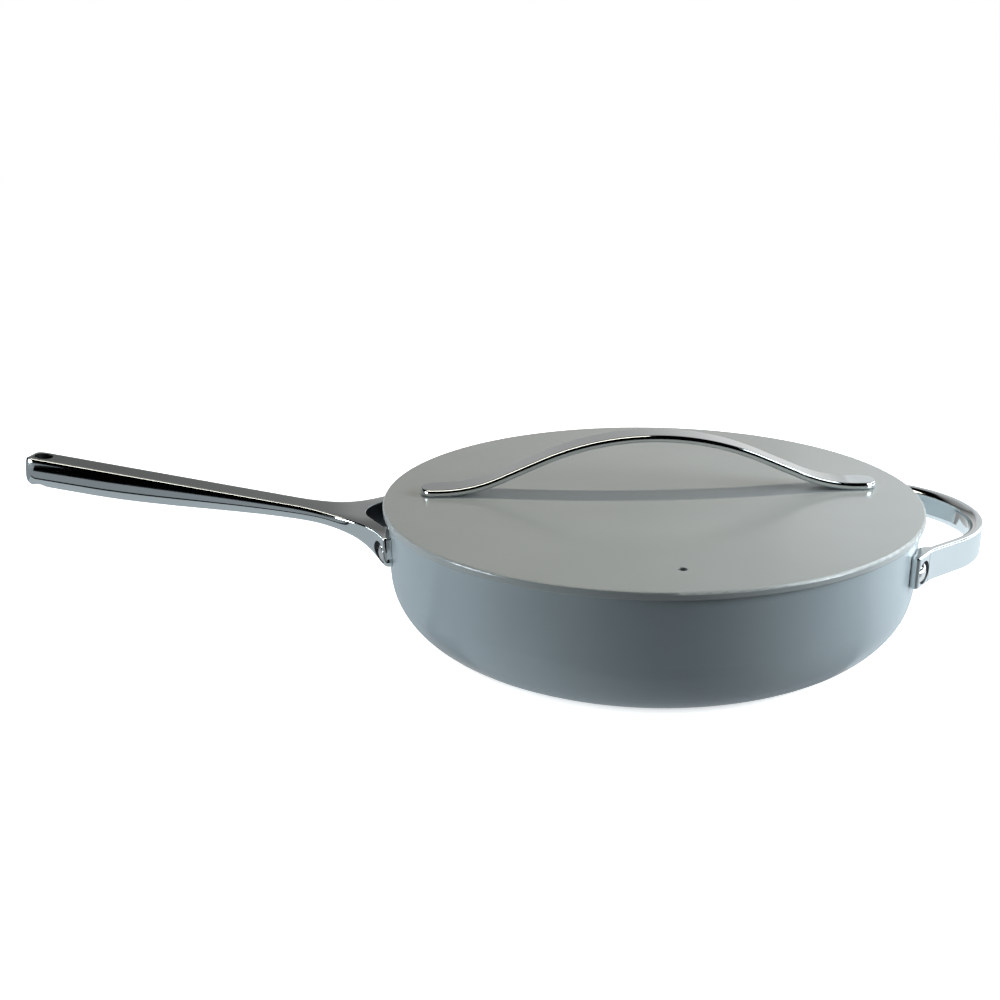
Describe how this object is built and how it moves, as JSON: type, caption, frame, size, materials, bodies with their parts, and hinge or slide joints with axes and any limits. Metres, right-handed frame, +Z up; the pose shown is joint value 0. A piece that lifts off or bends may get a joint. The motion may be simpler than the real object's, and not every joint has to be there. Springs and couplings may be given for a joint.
{
  "type": "saute pan",
  "caption": "Straight-walled round saute pan with a flat lift-off lid, an arched strap lid handle, a long forked steel handle and a loop helper handle.",
  "frame": {"origin": "centre of the base where the pan rests on the table", "axes": "+Z up, the long handle runs towards -X and the helper handle towards +X"},
  "size_m": [0.5472, 0.305, 0.1068],
  "materials": {
    "pan_coat": "grey-blue satin ceramic coating on aluminium",
    "lid_coat": "grey satin ceramic coating on aluminium",
    "base_steel": "turned magnetic stainless steel",
    "handle_steel": "polished cast stainless steel",
    "rivet_steel": "polished stainless steel"
  },
  "bodies": {
    "pan": {"pan_body": "pan_coat", "base_plate": "base_steel", "long_handle": "handle_steel", "long_handle_rivets": "rivet_steel", "helper_handle": "handle_steel", "helper_handle_rivets": "rivet_steel"},
    "lid": {"lid_plate": "lid_coat", "lid_handle": "handle_steel", "lid_handle_screws": "rivet_steel", "lid_handle_washers": "rivet_steel"}
  },
  "joints": [
    {"name": "lid_lift", "type": "slide", "parent": "pan", "child": "lid", "axis": [0, 0, 1], "range_m": [0, 0.12]}
  ]
}
